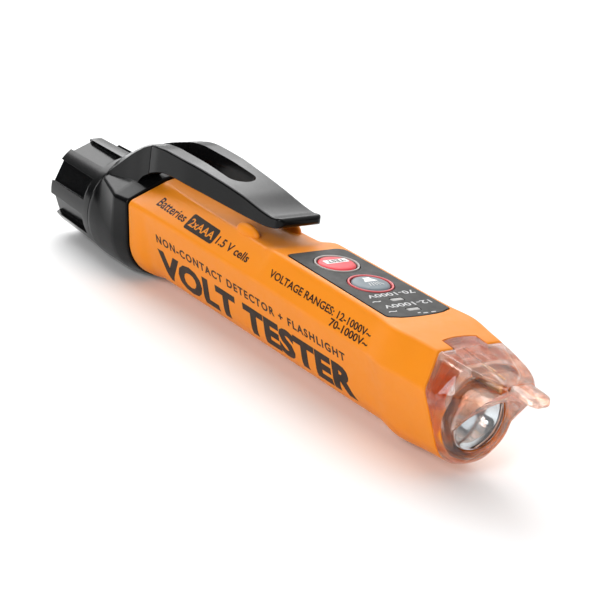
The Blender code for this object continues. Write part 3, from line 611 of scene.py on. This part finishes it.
def build_tongue():
    """Flat sensing blade with a round end, which runs back over the nose as a low rib."""
    rows = []
    places = [63.2 + 0.6 * k for k in range(35)]
    places += [83.8, 84.1, 84.5, 85.0, 85.5, 85.9, 86.2, 86.45, 86.65, 86.78, 86.85]
    for x in places:
        ahead = max(0.0, x - 83.9)
        half = max(0.7, math.sqrt(max(0.0, TONGUE_HALF ** 2 - ahead ** 2 * 0.82)))
        crest = cubic([row[0] for row in NOSE], [row[3] for row in NOSE], x)
        top = max(25.5 - (x - 76.0) * 0.075, min(crest + 0.26, 27.6 - max(0.0, x - 71.5) * 0.6))
        thick = 1.9 - (x - 70.0) * 0.02
        end = min(1.0, max(0.25, (86.95 - x) / 0.6))
        side = 0.45
        middle = top - thick / 2
        lift = thick / 2 * end
        half_loop = [(half - side, middle + lift), (half - side * 0.3, middle + lift * 0.75),
                     (half, middle), (half - side * 0.3, middle - lift * 0.75), (half - side, middle - lift)]
        loop = half_loop + [(-y, z) for y, z in reversed(half_loop)]
        rows.append([(x, y, z) for y, z in loop])
    return lofted("tongue", rows)


def build_liner():
    """Orange neck of the shell that shows through the clear nose."""
    profile = [(8.5, 64.0), (8.95, 64.0), (8.95, 67.3), (8.85, 67.4), (8.6, 67.4), (8.5, 67.3)]
    turned("shell_front_neck", profile, LENS_Z, 96, True, body="tester", material=ORANGE,
           slot="orange_shell")


def build_torch():
    """Thick lens and the reflector cup behind it."""
    face = []
    for step in range(19):
        angle = math.radians(5.0 * step)
        face.append((6.9 * math.sin(angle), 67.9 + 1.9 * math.cos(angle)))
    profile = face + [(6.9, 66.2), (6.5, 65.2), (0.0, 65.2)]
    item = turned("flashlight_lens_clear", profile, LENS_Z, 96, body="tester", material=LENS_CLEAR,
                  slot="clear_lens")
    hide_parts("flashlight_lens")
    cup = []
    for step in range(17):
        share = step / 16.0
        cup.append((6.8 - 4.2 * share, 64.7 - 7.8 * share ** 2))
    inner = []
    for step in range(17):
        share = 1.0 - step / 16.0
        inner.append((6.2 - 3.9 * share, 64.9 - 7.4 * share ** 2))
    item = turned("reflector_cup", [(6.8, 64.9)] + cup + inner, LENS_Z, 96, closed=True, body="tester",
                  material=MIRROR, slot="reflector")
    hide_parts("flashlight_reflector")


# ---------------------------------------------------------------- collar, clip and cap
def arch_ring(row):
    """Cross-section of the hood over the collar."""
    x, top, top_half, side, side_half = row
    shoulder = (top_half + (side_half - top_half) * 0.55, top - (top - side) * 0.35)
    half = [(0.0, top), (top_half * 0.5, top), (top_half, top)]
    half += [((top_half + shoulder[0]) / 2, (top + shoulder[1]) / 2 + 0.08), shoulder]
    half += [((side_half + shoulder[0]) / 2 + 0.1, (side + shoulder[1]) / 2 + 0.1), (side_half, side),
             (side_half, 19.0)]
    return [(x, y, z) for y, z in half + [(-y, z) for y, z in reversed(half[1:])]]


def slot_shape(name):
    """Slot through the strap: narrow over the collar, wide and round-ended in the arm."""
    half, centre_x = 3.5, -19.85 - 3.5
    side = [(-64.5, 1.8), (-60.0, 1.95), (-55.0, 2.3), (-52.0, 2.7), (-49.0, 3.2), (-46.0, half)]
    outline = list(side)
    for step in range(25):
        angle = math.pi / 2 - math.pi * step / 24
        outline.append((centre_x + half * math.cos(angle), half * math.sin(angle)))
    return prism(name, outline + [(x, -y) for x, y in reversed(side)], 10.0, 45.0)


def build_collar():
    """Collar with the hood-shaped arch that the clip springs from."""
    rings = [ring(straight(COLLAR, -67.05), 0.45), ring(straight(COLLAR, -66.95), 0.15),
             ring(straight(COLLAR, -66.7))]
    rings += [ring(straight(COLLAR, x)) for x in (-65.5, -62.0, -59.0, -56.2)]
    rings += [ring(straight(COLLAR, x), 0.05) for x in (-55.75, -55.25)]
    rings += [ring(straight(COLLAR, x)) for x in (-54.8, -52.0, -50.8)]
    rings += [ring(straight(COLLAR, -50.45), 0.1), ring(straight(COLLAR, -50.3), 0.35)]
    item = lofted("collar", rings)
    arch = lofted("arch", [arch_ring(at(ARCH, -66.95 + 16.8 * k / 26)) for k in range(27)])
    under = [(-57.0, 15.0), (-56.4, 18.5), (-55.4, 21.6), (-54.0, 24.0), (-52.6, 25.5), (-51.0, 26.5),
             (-49.0, 27.4), (-49.0, 15.0)]
    combine(arch, prism("arch_under", under, -12, 12, "Y"))
    combine(arch, slot_shape("arch_slot"))
    combine(item, arch, "UNION")
    combine(item, turned("collar_bore", [(0.0, -70.0), (10.7, -70.0), (10.7, -45.0), (0.0, -45.0)], TUBE_Z))
    bevel(item, 0.4, 3, 50.0)
    item.name = "clip_collar_moulding"
    return dress(item, "tester", BLACK, "black_plastic", "clip_collar")


def arm_ring(x, half, top, under, round_top, round_under):
    """Rounded box section of the clip's arm."""
    points = fillet((half, under), (half, top), (-half, top), round_top, 6)
    points += fillet((half, top), (-half, top), (-half, under), round_top, 6)
    points += fillet((-half, top), (-half, under), (half, under), round_under, 4)
    points += fillet((-half, under), (half, under), (half, top), round_under, 4)
    return [(x, y, z) for y, z in points]


def build_clip():
    """Springy arm, hollow below and slotted, from the seam in the arch to its lipped tip."""
    seam = CLIP_SEAM_X
    tops = [(seam, 34.0), (-48.0, 34.5), (-43.0, 35.05), (-34.0, 35.1), (-24.0, 34.7), (-14.0, 34.0),
            (-5.0, 32.95), (-2.2, 32.8), (0.2, 33.15), (1.6, 33.4)]
    unders = [(seam, 27.0), (-47.0, 28.2), (-43.0, 29.3), (-38.0, 29.6), (-14.0, 29.5), (-5.0, 29.8),
              (-1.5, 30.3), (0.5, 30.75), (1.6, 31.0)]
    halves = [(seam, 7.35), (-46.0, 7.7), (-36.0, 7.6), (-28.0, 7.1), (-20.0, 6.6), (-12.0, 6.2),
              (0.4, 5.9), (1.6, 5.5)]
    rings = []
    for x, inset in [(seam + 0.8 * k, 0.0) for k in range(63)] + [(0.0, 0.0), (0.5, 0.06), (0.9, 0.2),
                                                                 (1.2, 0.42), (1.42, 0.7), (1.6, 1.05)]:
        half, top, under = [cubic([k[0] for k in keys], [k[1] for k in keys], x)
                            for keys in (halves, tops, unders)]
        rings.append(arm_ring(x, half - inset, top - inset * 0.8, under + inset * 0.8, 0.55, 0.3))
    item = lofted("clip", rings)
    channel = [(-47.0, 24.0), (-43.0, 31.8), (-34.0, 32.9), (-24.0, 32.6), (-14.0, 31.9), (-8.5, 31.0),
               (-7.5, 24.0)]
    combine(item, prism("clip_channel", channel, -4.3, 4.3, "Y"))
    combine(item, slot_shape("clip_slot"))
    bevel(item, 0.3, 2, 50.0)
    item.name = "pocket_clip_arm"
    return dress(item, "clip", BLACK, "black_plastic", "pocket_clip")


def build_cap():
    """Screw cap with its neck, a groove for the seal and a ring of grip pockets."""
    profile = [
        (0.0, -84.5), (6.0, -84.5), (6.0, -57.7), (6.2, -57.5), (8.7, -57.5), (8.9, -57.7), (8.9, -64.4),
        (8.0, -64.4), (8.0, -66.2), (8.9, -66.2), (8.9, -67.35), (12.0, -67.35), (12.2, -67.55),
        (12.2, -69.9), (12.05, -70.15), (11.6, -86.3), (11.45, -86.6), (11.05, -86.85), (8.6, -86.85),
        (8.4, -86.6), (0.0, -86.6)]
    item = turned("cap", profile, TUBE_Z, 96)
    shape = bmesh.new()
    for index in range(CAP_POCKETS):
        angle = 2 * math.pi * (index + 0.5) / CAP_POCKETS
        found = bmesh.ops.create_cube(shape, size=1.0)["verts"]
        bmesh.ops.scale(shape, vec=(20.0, 5.6, 4.0), verts=found)
        bmesh.ops.translate(shape, vec=(-80.4, 0.0, 12.2), verts=found)
        bmesh.ops.rotate(shape, cent=(0, 0, 0), matrix=Matrix.Rotation(angle, 3, "X"), verts=found)
    bmesh.ops.translate(shape, vec=(0, 0, TUBE_Z), verts=shape.verts)
    combine(item, new_object("pockets", shape))
    bevel(item, 0.22, 2, 35.0)
    item.name = "battery_cap_moulding"
    return dress(item, "cap", CAP_BLACK, "black_plastic", "battery_cap")


# ---------------------------------------------------------------- controls and print
def build_panel():
    """Panel plate, the two buttons with their rings, and the two windows."""
    item = prism("panel", panel_outline(0.0, 3), PANEL_Z - 0.8, PANEL_Z)
    for x in BUTTONS.values():
        hole = [(0.0, 20.0), (5.25, 20.0), (5.25, 30.0), (0.0, 30.0)]
        combine(item, turned_upright("hole", hole, x))
    for x in WINDOWS.values():
        combine(item, prism("slot", rounded_box(x, 0.0, 0.85, 1.7, 0.3), 20.0, 30.0))
    bevel(item, 0.12, 2, 50.0)
    item.name = "control_panel_plate"
    dress(item, "tester", PANEL, "panel", "control_panel")
    for name, ring_slot, ring_material, key_slot, key_material in (
            ("power", "grey_ring", RING_GREY, "red_button", RED),
            ("flashlight", "red_ring", RING_RED, "grey_button", GREY)):
        x = BUTTONS[name]
        profile = [(4.55, 26.9), (5.0, 26.9), (5.05, 27.0), (5.05, 27.7), (4.95, 27.84), (4.7, 27.84),
                   (4.55, 27.7)]
        rim = turned_upright(name + "_bezel", profile, x, closed=True, body="tester",
                             material=ring_material, slot=ring_slot)
        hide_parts(name + "_button_ring")
        top = [(0.0, 28.0), (1.5, 27.995), (3.0, 27.96), (3.7, 27.9), (4.0, 27.8), (4.2, 27.6), (4.2, 26.0),
               (1.4, 26.0), (1.4, 24.3), (0.0, 24.3)]
        key = turned_upright(name + "_key_cap", top, x, body=name + "_key", material=key_material,
                             slot=key_slot)
        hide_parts(name + "_button")
    for name, x in WINDOWS.items():
        window = prism(name + "_light", rounded_box(x, 0.0, 0.65, 1.5, 0.22), 22.6, PANEL_Z)
        bevel(window, 0.1, 2, 50.0)
        dress(window, "tester", WINDOW, "window", name + "_window")
        window.name = name + "_light_window"


def rounded_box(x, y, half_x, half_y, radius):
    """Outline of a box with round corners."""
    corners = [(x - half_x, y - half_y), (x + half_x, y - half_y), (x + half_x, y + half_y),
               (x - half_x, y + half_y)]
    points = []
    for i in range(4):
        points += fillet(corners[i - 1], corners[i], corners[(i + 1) % 4], radius, 4)
    return points


def side_y(x, z):
    """How far the housing reaches sideways at a height on its side."""
    half = half_ring(at(HOUSING, x))
    for (y0, z0), (y1, z1) in zip(half[4:], half[5:]):
        if z1 <= z <= z0 and z0 > z1:
            return y0 + (y1 - y0) * (z0 - z) / (z0 - z1)
    return half[-1][0]


def letters(text, size, bold, width, spacing=1.0):
    """Flat mesh of a line of text, stretched to a width and starting at zero, in millimetres."""
    curve = bpy.data.curves.new("letters", "FONT")
    curve.body = text
    curve.size = size
    curve.offset = bold
    curve.space_character = spacing
    curve.resolution_u = 3
    curve.fill_mode = "FRONT"
    holder = bpy.data.objects.new("letters", curve)
    bpy.context.scene.collection.objects.link(holder)
    bpy.context.view_layer.update()
    graph = bpy.context.evaluated_depsgraph_get()
    mesh = bpy.data.meshes.new_from_object(holder.evaluated_get(graph), depsgraph=graph)
    bpy.data.objects.remove(holder, do_unlink=True)
    bpy.data.curves.remove(curve)
    shape = bmesh.new()
    shape.from_mesh(mesh)
    bpy.data.meshes.remove(mesh)
    places = [vert.co.x for vert in shape.verts]
    low, wide = min(places), max(places) - min(places)
    for vert in shape.verts:
        vert.co.x = (vert.co.x - low) * width / wide
    return shape


def slice_flat(shape, axis, step):
    """Cuts a flat shape into strips so that it can follow a curved wall."""
    values = [vert.co[axis] for vert in shape.verts]
    normal = Vector((0.0, 0.0, 0.0))
    normal[axis] = 1.0
    for k in range(int((max(values) - min(values)) / step)):
        bmesh.ops.bisect_plane(shape, geom=shape.verts[:] + shape.edges[:] + shape.faces[:], dist=1e-5,
                               plane_co=normal * (min(values) + step * (k + 0.5)), plane_no=normal)


def ink_layer(name, shape, depth, body, material, slot):
    """Closes a printed sheet into a thin solid that sinks into the surface below it."""
    bmesh.ops.remove_doubles(shape, verts=shape.verts, dist=1e-5)
    bottom = bmesh.ops.duplicate(shape, geom=shape.verts[:] + shape.edges[:] + shape.faces[:])
    partner = bottom["vert_map"]
    outline = [edge for edge in shape.edges if edge.is_boundary]
    copies = [item for item in bottom["geom"] if isinstance(item, bmesh.types.BMVert)]
    copied = set(copies)
    bmesh.ops.translate(shape, vec=depth, verts=copies)
    for edge in outline:
        first, second = edge.verts
        if first in copied or second in copied:
            continue
        shape.faces.new((first, second, partner[second], partner[first]))
    return new_object(name, shape, body, material, slot)


def on_side(name, shape, x, z, material, slot, lift=0.035, drop=0.92):
    """Lays a flat shape on the near side: its x runs along the tester, its y goes up."""
    slice_flat(shape, 1, 0.3)
    slice_flat(shape, 0, 2.0)
    bmesh.ops.triangulate(shape, faces=shape.faces)
    for vert in shape.verts:
        along, up = x + vert.co.x, z + vert.co.y * drop
        vert.co = Vector((along, -side_y(along, up) - lift, up))
    return ink_layer(name, shape, Vector((0.0, 0.12, 0.0)), "tester", material, slot)


def on_panel(name, shape, x, y, material, slot, body="tester", z=PANEL_Z + 0.02):
    """Lays a flat shape on top: it reads towards -Y and its upper side is towards +X."""
    bmesh.ops.triangulate(shape, faces=shape.faces)
    for vert in shape.verts:
        vert.co = Vector((x + vert.co.y, y - vert.co.x, z))
    return ink_layer(name, shape, Vector((0.0, 0.0, -0.1)), body, material, slot)


def flat_shape(outline):
    """Flat mesh with one face."""
    shape = bmesh.new()
    shape.faces.new([shape.verts.new((a, b, 0.0)) for a, b in outline])
    return shape


def build_print():
    """Generic lettering, range numbers and symbols in place of the maker's own."""
    def side_line(name, words, size, bold, width, x, z, ink=INK_BROWN, spacing=1.0, **lay):
        line = letters(words, size, bold, width, spacing)
        on_side(name, line, x, z, ink, "orange_shell", **lay)

    def panel_line(name, words, size, bold, width, x, y):
        on_panel(name, letters(words, size, bold, width), x, y, INK_GREY, "panel")

    side_line("word_left", "Batteries", 2.35, 0.045, 12.6, -42.6, 22.1)
    tablet = flat_shape(rounded_box(6.0, 1.35, 6.0, 1.6, 0.6))
    on_side("rating_tablet", tablet, -28.9, 21.7, INK, "orange_shell", 0.03)
    side_line("rating_tablet_text", "2xAAA", 2.3, 0.03, 10.2, -28.0, 22.2, ORANGE, lift=0.06)
    side_line("word_right", "1.5 V cells", 2.35, 0.055, 13.0, -16.0, 22.1)
    side_line("small_title", "NON-CONTACT DETECTOR + FLASHLIGHT", 2.9, 0.085, 75.5, -39.4, 14.1,
              spacing=1.25)
    side_line("large_title", "VOLT TESTER", 9.0, 0.46, 78.0, -39.6, 6.1, INK, 1.06, drop=0.94)
    side_line("range_line_one", "VOLTAGE RANGES: 12-1000V~", 2.4, 0.05, 37.6, 6.6, 22.6)
    side_line("range_line_two", "70-1000V~", 2.4, 0.055, 13.6, 30.7, 20.6)
    panel_line("high_range_text", "70-1000V", 2.3, 0.03, 12.2, 34.0, 6.6)
    panel_line("low_range_text", "12-1000V", 2.3, 0.03, 12.2, 39.9, 6.6)
    panel_line("high_wave", "~", 3.0, 0.04, 2.2, 36.8, -4.2)
    panel_line("low_wave", "~", 3.0, 0.04, 2.2, 42.5, -4.2)
    for index, (x, y, wide) in enumerate(((46.0, 3.3, 1.2), (46.0, 1.2, 1.2), (45.6, -0.2, 0.7))):
        bar = flat_shape(rounded_box(0.0, 0.0, wide / 2, 0.18, 0.1))
        on_panel("sound_mark_%d" % index, bar, x, y, INK_GREY, "panel")
    label = flat_shape(rounded_box(0.0, 0.0, 3.0, 1.0, 0.35))
    on_panel("power_label", label, 15.2, 0.2, INK_WHITE, "red_button", "power_key", 28.02)
    word = letters("TEST", 1.9, 0.03, 4.6)
    on_panel("power_label_text", word, 14.5, 2.5, INK, "red_button", "power_key", 28.05)
    head = flat_shape([(0.9, -1.3), (0.9, -0.6), (1.7, 0.9), (-1.7, 0.9), (-0.9, -0.6), (-0.9, -1.3)])
    on_panel("torch_icon", head, 27.0, 0.4, INK_WHITE, "grey_button", "flashlight_key", 28.03)
    for index in range(5):
        spread = (index - 2) * 0.75
        ray = flat_shape([(spread * 0.75 - 0.11, 0.0), (spread * 0.75 + 0.11, 0.0),
                          (spread * 1.15 + 0.11, 1.7), (spread * 1.15 - 0.11, 1.7)])
        on_panel("torch_ray_%d" % index, ray, 28.5, 0.4, INK_GREY, "grey_button", "flashlight_key", 28.03)


def finish_nodes():
    """Materials for the CAD nodes that stay."""
    for material, names in (
            (LED, ("low_range_led", "high_range_led", "tip_led", "flashlight_led")),
            (BOARD, ("circuit_board", "led_board")),
            (CHIP, ("power_switch", "flashlight_switch", "controller_chip")),
            (BRASS, ("piezo_buzzer", "sensor_antenna")),
            (RUBBER, ("nose_seal", "cap_o_ring")),
            (SLEEVE, ("battery_sleeve",)),
            (CELL, ("battery_front", "battery_rear")),
            (STEEL, ("front_contact", "negative_strip", "cap_contact_plate", "cap_spring"))):
        for name in names:
            node = NODES[name]
            if not node.material_slots:
                node.data.materials.append(material)
            for slot in node.material_slots:
                slot.material = material


# ---------------------------------------------------------------- studio
def build_floor():
    """Pale floor under the tester."""
    shape = bmesh.new()
    bmesh.ops.create_grid(shape, x_segments=8, y_segments=8, size=4.0)
    mesh = bpy.data.meshes.new("floor")
    shape.to_mesh(mesh)
    shape.free()
    floor = bpy.data.objects.new("floor", mesh)
    bpy.context.scene.collection.objects.link(floor)
    floor.location = (0.0, 0.0, FLOOR_Z)
    made = Nodes("floor_pale")
    made.link(made.mix(made.spread(made.noise(6.0), 0.0, 1.0), (0.93, 0.93, 0.93), (0.95, 0.95, 0.95)),
              made.shader.inputs["Base Color"])
    made.shader.inputs["Roughness"].default_value = 0.7
    mesh.materials.append(made.material)


def add_light(name, place, size, power):
    """Area light that points at the tester."""
    lamp = bpy.data.lights.new(name, "AREA")
    lamp.shape = "RECTANGLE"
    lamp.size, lamp.size_y = size
    lamp.energy = power
    item = bpy.data.objects.new(name, lamp)
    item.location = place
    item.rotation_mode = "QUATERNION"
    item.rotation_quaternion = (Vector(STUDIO_AIM) - Vector(place)).to_track_quat("-Z", "Y")
    bpy.context.scene.collection.objects.link(item)


def build_light():
    """Soft lights behind and in front, and a surround that is bright behind and dark in front."""
    add_light("key_rear", (-0.60, 0.13, 0.55), (0.7, 0.6), 5.0)
    add_light("rear_card", (-0.75, 0.57, 0.37), (0.5, 0.25), 0.5)
    add_light("fill_front", (0.35, -0.80, 0.50), (0.45, 0.45), 6.0)
    world = bpy.data.worlds.new("studio")
    bpy.context.scene.world = world
    world.use_nodes = True
    tree = world.node_tree
    back = tree.nodes["Background"]
    place = tree.nodes.new("ShaderNodeTexCoord")
    lean = tree.nodes.new("ShaderNodeVectorMath")
    lean.operation = "DOT_PRODUCT"
    lean.inputs[1].default_value = (-0.25, 0.60, 0.80)
    ramp = tree.nodes.new("ShaderNodeValToRGB")
    tree.links.new(place.outputs["Generated"], lean.inputs[0])
    tree.links.new(lean.outputs["Value"], ramp.inputs["Fac"])
    tree.links.new(ramp.outputs["Color"], back.inputs["Color"])
    ramp.color_ramp.elements[0].position = 0.0
    ramp.color_ramp.elements[0].color = (0.02, 0.02, 0.022, 1.0)
    ramp.color_ramp.elements[1].position = 0.7
    ramp.color_ramp.elements[1].color = (1.0, 1.0, 1.0, 1.0)
    middle = ramp.color_ramp.elements.new(0.3)
    middle.color = (0.2, 0.2, 0.2, 1.0)
    back.inputs["Strength"].default_value = 1.05


def build_camera():
    """Long lens from above the nose end, rolled a little."""
    azimuth, elevation, roll = math.radians(52.55), math.radians(20.29), math.radians(7.42)
    target = Vector((31.84, -20.87, 27.65))
    back = Vector((math.sin(azimuth) * math.cos(elevation), -math.cos(azimuth) * math.cos(elevation),
                   math.sin(elevation)))
    right = Vector((math.cos(azimuth), math.sin(azimuth), 0.0))
    up = back.cross(right)
    across = right * math.cos(roll) + up * math.sin(roll)
    upward = up * math.cos(roll) - right * math.sin(roll)
    data = bpy.data.cameras.new("camera")
    data.lens = 145.56
    data.sensor_width = 36.0
    data.clip_start, data.clip_end = 0.05, 20.0
    camera = bpy.data.objects.new("camera", data)
    bpy.context.scene.collection.objects.link(camera)
    matrix = Matrix((across, upward, back)).transposed().to_4x4()
    matrix.translation = (target + back * CAMERA_DISTANCE) * MM
    camera.matrix_world = matrix
    bpy.context.scene.camera = camera


build_camera()
build_floor()
build_light()
build_housing()
build_nose()
build_torch()
build_liner()
build_collar()
build_clip()
build_cap()
build_panel()
build_print()
finish_nodes()
bpy.context.scene.view_settings.view_transform = "Standard"
